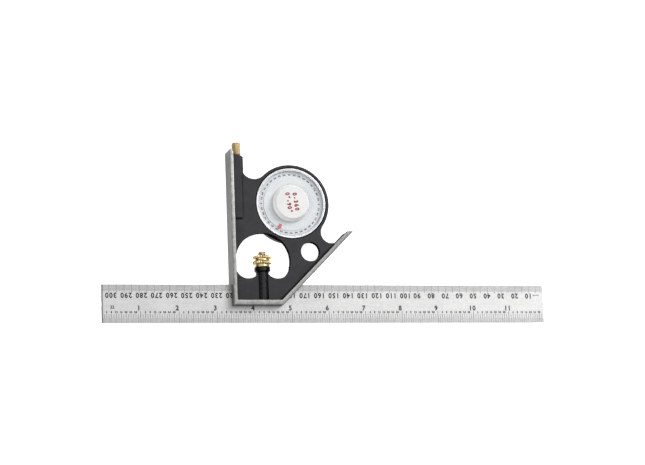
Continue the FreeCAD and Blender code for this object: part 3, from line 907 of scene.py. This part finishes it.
# Styles of figure, as write takes them.
METRIC_STYLE = (3.7, 0.72, 0.9)
INCH_STYLE = (3.5, 0.72, 0.95)
SMALL_STYLE = (1.45, 0.68, 0.85)
DIVISION_STYLE = (2.3, 0.62, 0.85)
# The unit mark: a lying bar with a short upright bar near each end.
UNIT_INSET = 5.1
UNIT_Y = 6.0
UNIT_LENGTH = 4.0
UNIT_INK = 0.35
UNIT_END = 1.8
UNIT_END_LENGTH = 1.4


def depth_of(step, depths):
    """How far in from the edge the graduation of this step reaches."""
    return next(depth for every, depth in depths if step % every == 0)


def rule_tick(marks, x, edge_y, inward, depth, width):
    """One graduation that runs in from the rule's edge at edge_y."""
    middle = (x, edge_y + inward * depth / 2)
    marks.bar(middle, math.pi / 2, depth, width, RULE_FRONT)


def metric_scale(marks, figures):
    """Half millimetres along the top edge, counted from the right-hand end."""
    for step in range(1, int(RULE_LENGTH / METRIC_STEP)):
        gain = LONG_TICK_GAIN if step % METRIC_THICK_EVERY == 0 else 1.0
        x = RULE_LENGTH - step * METRIC_STEP
        depth = depth_of(step, METRIC_DEPTHS)
        rule_tick(marks, x, RULE_HALF_WIDTH, -1, depth, METRIC_INK * gain)
    for value in range(10, 301, 10):
        text = str(value)
        centre = (RULE_LENGTH - value + METRIC_SHIFTS[len(text)], METRIC_FIGURES_Y)
        write(marks, figures, text, centre, METRIC_STYLE, math.pi, RULE_FRONT)


def unit_mark(marks):
    """A plain mark between the metric scale's end and its first figure."""
    x = RULE_LENGTH - UNIT_INSET
    marks.bar((x, UNIT_Y), 0.0, UNIT_LENGTH, UNIT_INK, RULE_FRONT)
    for side in (-1, 1):
        end = (x + side * UNIT_END, UNIT_Y)
        marks.bar(end, math.pi / 2, UNIT_END_LENGTH, UNIT_INK, RULE_FRONT)


def inch_scale(marks, figures, bold_figures):
    """Thirty-seconds of an inch along the bottom edge, from the left-hand end."""
    part = INCH / INCH_PARTS
    for step in range(1, int(RULE_LENGTH / part)):
        whole = step % INCH_PARTS == 0
        gain = EVEN_TICK_GAIN if step % 2 == 0 else ODD_TICK_GAIN
        if whole:
            gain = LONG_TICK_GAIN
        depth = depth_of(step, INCH_DEPTHS)
        rule_tick(marks, step * part, -RULE_HALF_WIDTH, 1, depth, INCH_INK * gain)
        if step % SMALL_EVERY == 0 and not whole:
            text = str(step % INCH_PARTS)
            centre = (step * part + SMALL_SHIFT, SMALL_FIGURES_Y)
            write(marks, bold_figures, text, centre, SMALL_STYLE, 0.0, RULE_FRONT)
    for value in range(1, 12):
        text = str(value)
        centre = (value * INCH + INCH_SHIFTS[len(text)], INCH_FIGURES_Y)
        write(marks, figures, text, centre, INCH_STYLE, 0.0, RULE_FRONT)
    write(marks, figures, str(INCH_PARTS), DIVISION_PLACE, DIVISION_STYLE, 0.0, RULE_FRONT)


def make_rule_marks(made, figures, bold_figures):
    marks = Marks()
    metric_scale(marks, figures)
    unit_mark(marks)
    inch_scale(marks, figures, bold_figures)
    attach(marks.piece("rule_graduations", made["black_ink"]), "rule")


# ------------------------------------------------------------ nut, thread and knob

NUT_BORE_R = 2.6
NUT_NECK_R = 5.05
NUT_GRIP_R = 6.2
NUT_TEETH = 26
KNOB_R = 3.05
KNOB_TEETH = 40
THREAD_PITCH = 0.8
THREAD_RIDGES = 8
THREAD_CORE_R = 2.2
THREAD_ROOT_R = 2.42
THREAD_CREST_R = 2.58
THREAD_END = 0.5
# Where a ridge's crest starts and stops, above the ridge's foot.
THREAD_CREST = (0.3, 0.5)


def knurl(teeth, depth, start, run, power=1.0):
    """A swell for turned that cuts teeth where a profile's radius is past start.

    The cuts have their full depth at start plus run. A power below 1 widens them.
    """
    def swell(angle, radius):
        grip = max(0.0, min(1.0, (radius - start) / run))
        return -depth * grip * (0.5 - 0.5 * math.cos(teeth * angle)) ** power

    return swell


def make_nut(made):
    """The lock nut: two toothed grip rings over a short neck."""
    bottom, top = heights_of("lock_nut")
    profile = rounded([
        (NUT_BORE_R, bottom, 0.0), (4.9, bottom, 0.15), (NUT_NECK_R, bottom + 0.3, 0.1),
        (4.95, 26.2, 0.2), (NUT_GRIP_R, 26.8, 0.3), (NUT_GRIP_R, 28.25, 0.3),
        (NUT_NECK_R, 28.75, 0.3), (5.0, 30.0, 0.3), (NUT_GRIP_R, 30.5, 0.3),
        (NUT_GRIP_R, 31.8, 0.35), (4.7, 32.15, 0.2), (3.5, top, 0.15), (2.95, top, 0.1),
        (NUT_BORE_R, top - 0.3, 0.0),
    ])
    teeth = knurl(NUT_TEETH, depth=0.55, start=5.4, run=0.6, power=0.7)
    nut = turned(
        "knurled_nut", profile, (NUT.x, NUT.z), "y", made["nut_brass"],
        NUT_TEETH * 12, teeth, smooth_angle=28,
    )
    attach(nut, "clamp_nut")
    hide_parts("lock_nut")


def make_thread(made):
    """The ridges of the bolt's thread, clear of the nut's bore, up to its end."""
    _, top = heights_of("lock_bolt")
    high = top - THREAD_END
    low = high - THREAD_RIDGES * THREAD_PITCH
    profile = [(THREAD_CORE_R, low)]
    for ridge in range(THREAD_RIDGES):
        foot = low + ridge * THREAD_PITCH
        profile.append((THREAD_ROOT_R, foot))
        profile += [(THREAD_CREST_R, foot + rise) for rise in THREAD_CREST]
    profile += [(THREAD_ROOT_R, high), (THREAD_CORE_R, high)]
    thread = turned("bolt_thread", profile, (NUT.x, NUT.z), "y", made["threaded"], 72)
    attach(thread, "clamp_bolt")


def make_knob(made):
    """The scriber's brass knob, finely knurled, with a rounded top."""
    bottom, top = heights_of("scriber_knob")
    profile = rounded([
        (0.0, bottom, 0.0), (KNOB_R - 0.4, bottom, 0.1), (KNOB_R - 0.1, bottom + 0.5, 0.2),
        (KNOB_R, bottom + 0.9, 0.2), (KNOB_R, top, 1.15), (0.0, top, 0.0),
    ], 8)
    teeth = knurl(KNOB_TEETH, depth=0.09, start=2.75, run=0.2)
    knob = turned(
        "knurled_knob", profile, (KNOB.x, KNOB.z), "y", made["knob_brass"],
        KNOB_TEETH * 8, teeth, smooth_angle=40,
    )
    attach(knob, "scriber")
    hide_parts("scriber_knob")


# ------------------------------------------------------------------- angle finder

DIAL_FACE_Z = 0.1
DIAL_TICK_INK = 0.09
DIAL_TICK_END_R = 21.85
DIAL_FIVES_R = 21.0
DIAL_ONES_R = 21.3
DIAL_FIGURES_R = 19.9
DIAL_STYLE = (1.1, 0.9, 1.2)
DISC_FACE_Z = 0.75
POINTER_ANGLE = math.radians(243.0)
POINTER_TAIL_R = 15.6
POINTER_NECK_R = 17.4
POINTER_TIP_R = 19.9
POINTER_SHAFT_HALF = 1.0
POINTER_HEAD_HALF = 1.7
POINTER_SINK = 0.02
POINTER_RISE = 0.08
LENS_LOW_Z = 1.3
LENS_HIGH_Z = 2.2
LENS_INNER_R = 6.0
LENS_OUTER_R = 22.6
CAP_SKIRT_Z = 1.4
CAP_LOW_Z = 2.22
CAP_HIGH_Z = 6.5
CAP_BORE_R = 4.95
CAP_SKIRT_R = 5.95
CAP_FOOT_R = 12.6
CAP_TOP_R = 10.8
CAP_TEXT_ANGLE = math.radians(-82)
# The cap's two lines: text, offset across the lines, and style.
CAP_LINES = (("0-360", 2.45, (3.2, 0.80, 0.9)), ("0°-90°", -2.45, (3.2, 0.74, 0.9)))
BEZEL_INNER_R = 22.2
BEZEL_OUTER_R = 23.75
BEZEL_HIGH_Z = 2.85
BEZEL_LIP_Z = 2.72
BEZEL_GROOVE_Z = 2.45


def round_dial(radius, angle):
    """A point at this radius and angle about the dial's axis."""
    return (DIAL.x + radius * math.cos(angle), DIAL.y + radius * math.sin(angle))


def make_dial_marks(made, figures):
    """Degree marks and figures, 0 to 90 and back in each quarter."""
    ticks = Marks()
    for degree in range(360):
        angle = math.radians(degree)
        inner = DIAL_FIVES_R if degree % 5 == 0 else DIAL_ONES_R
        middle = round_dial((inner + DIAL_TICK_END_R) / 2, angle)
        ticks.bar(middle, angle, DIAL_TICK_END_R - inner, DIAL_TICK_INK, DIAL_FACE_Z)
    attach(ticks.piece("dial_ticks", made["grey_ink"]), "stock")
    values = Marks()
    for step in range(36):
        angle = math.radians(step * 10)
        text = str(10 * min(step % 18, 18 - step % 18))
        centre = round_dial(DIAL_FIGURES_R, angle)
        write(values, figures, text, centre, DIAL_STYLE, angle - math.pi / 2, DIAL_FACE_Z)
    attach(values.piece("dial_figures", made["black_ink"]), "stock")


def make_pointer(made):
    """The red arrow on the disc, long enough to reach the figures."""
    half = (
        (POINTER_TAIL_R, POINTER_SHAFT_HALF),
        (POINTER_NECK_R, POINTER_SHAFT_HALF),
        (POINTER_NECK_R, POINTER_HEAD_HALF),
    )
    shape = [(reach, -across) for reach, across in half]
    shape += [(POINTER_TIP_R, 0.0), *reversed(half)]
    aside = (-math.sin(POINTER_ANGLE), math.cos(POINTER_ANGLE))
    outline = []
    for reach, across in shape:
        x, y = round_dial(reach, POINTER_ANGLE)
        outline.append((x + across * aside[0], y + across * aside[1]))
    arrow = Marks()
    arrow.slab(outline, DISC_FACE_Z - POINTER_SINK, DISC_FACE_Z + POINTER_RISE)
    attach(arrow.piece("pointer_arrow", made["red_ink"]), "pendulum")


def make_lens(made):
    """The clear window, with a hole for the cap's skirt."""
    profile = rounded([
        (LENS_INNER_R, LENS_LOW_Z, 0.0), (LENS_OUTER_R, LENS_LOW_Z, 0.0),
        (LENS_OUTER_R, LENS_HIGH_Z, 0.1), (LENS_INNER_R, LENS_HIGH_Z, 0.0),
    ])
    lens = turned("clear_lens", profile, (DIAL.x, DIAL.y), "z", made["window"], 180)
    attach(lens, "stock")
    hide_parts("lens")


def make_cap(made, figures):
    """The raised white centre cap, and the red marks printed on it."""
    profile = rounded([
        (CAP_BORE_R, CAP_SKIRT_Z, 0.0), (CAP_SKIRT_R, CAP_SKIRT_Z, 0.0),
        (CAP_SKIRT_R, CAP_LOW_Z, 0.0), (CAP_FOOT_R, CAP_LOW_Z, 0.15),
        (12.45, CAP_LOW_Z + 0.6, 0.3), (11.2, CAP_HIGH_Z - 0.1, 0.35),
        (CAP_TOP_R, CAP_HIGH_Z, 0.2), (0.0, CAP_HIGH_Z, 0.0),
        (0.0, CAP_HIGH_Z - 1.0, 0.0), (CAP_BORE_R, CAP_HIGH_Z - 1.0, 0.0),
    ], 6)
    cap = turned("smooth_cap", profile, (DIAL.x, DIAL.y), "z", made["cap"], 180)
    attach(cap, "stock")
    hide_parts("hub_cap")
    marks = Marks()
    upright = CAP_TEXT_ANGLE + math.pi / 2
    across = Vector((math.cos(upright), math.sin(upright)))
    middle = Vector((DIAL.x, DIAL.y))
    for text, offset, style in CAP_LINES:
        centre = middle + across * offset
        write(marks, figures, text, centre, style, CAP_TEXT_ANGLE, CAP_HIGH_Z)
    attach(marks.piece("cap_marks", made["dark_red_ink"]), "stock")


def make_bezel(made):
    """The bright ring round the window, with a fine groove inside its crown."""
    profile = rounded([
        (BEZEL_INNER_R, CAP_LOW_Z, 0.0), (BEZEL_OUTER_R, CAP_LOW_Z, 0.0),
        (BEZEL_OUTER_R, BEZEL_HIGH_Z, 0.35), (22.95, BEZEL_HIGH_Z, 0.25),
        (22.8, BEZEL_GROOVE_Z, 0.1), (22.68, BEZEL_GROOVE_Z, 0.1),
        (22.55, BEZEL_LIP_Z, 0.12), (BEZEL_INNER_R, BEZEL_LIP_Z, 0.15),
    ], 6)
    ring = turned("bright_bezel", profile, (DIAL.x, DIAL.y), "z", made["bright"], 240)
    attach(ring, "stock")
    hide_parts("bezel")


# --------------------------------------------------------------------------- build


make_stage()
made = make_materials()
paint_cad_nodes(made)
figures = make_figures("0123456789", 0.04)
bold_figures = make_figures("0123456789", 0.09)
dial_figures = make_figures("0123456789", 0.17)
cap_figures = make_figures("0369-°", 0.06)
make_rule_marks(made, figures, bold_figures)
make_nut(made)
make_thread(made)
make_knob(made)
make_dial_marks(made, dial_figures)
make_pointer(made)
make_lens(made)
make_cap(made, cap_figures)
make_bezel(made)
make_camera()
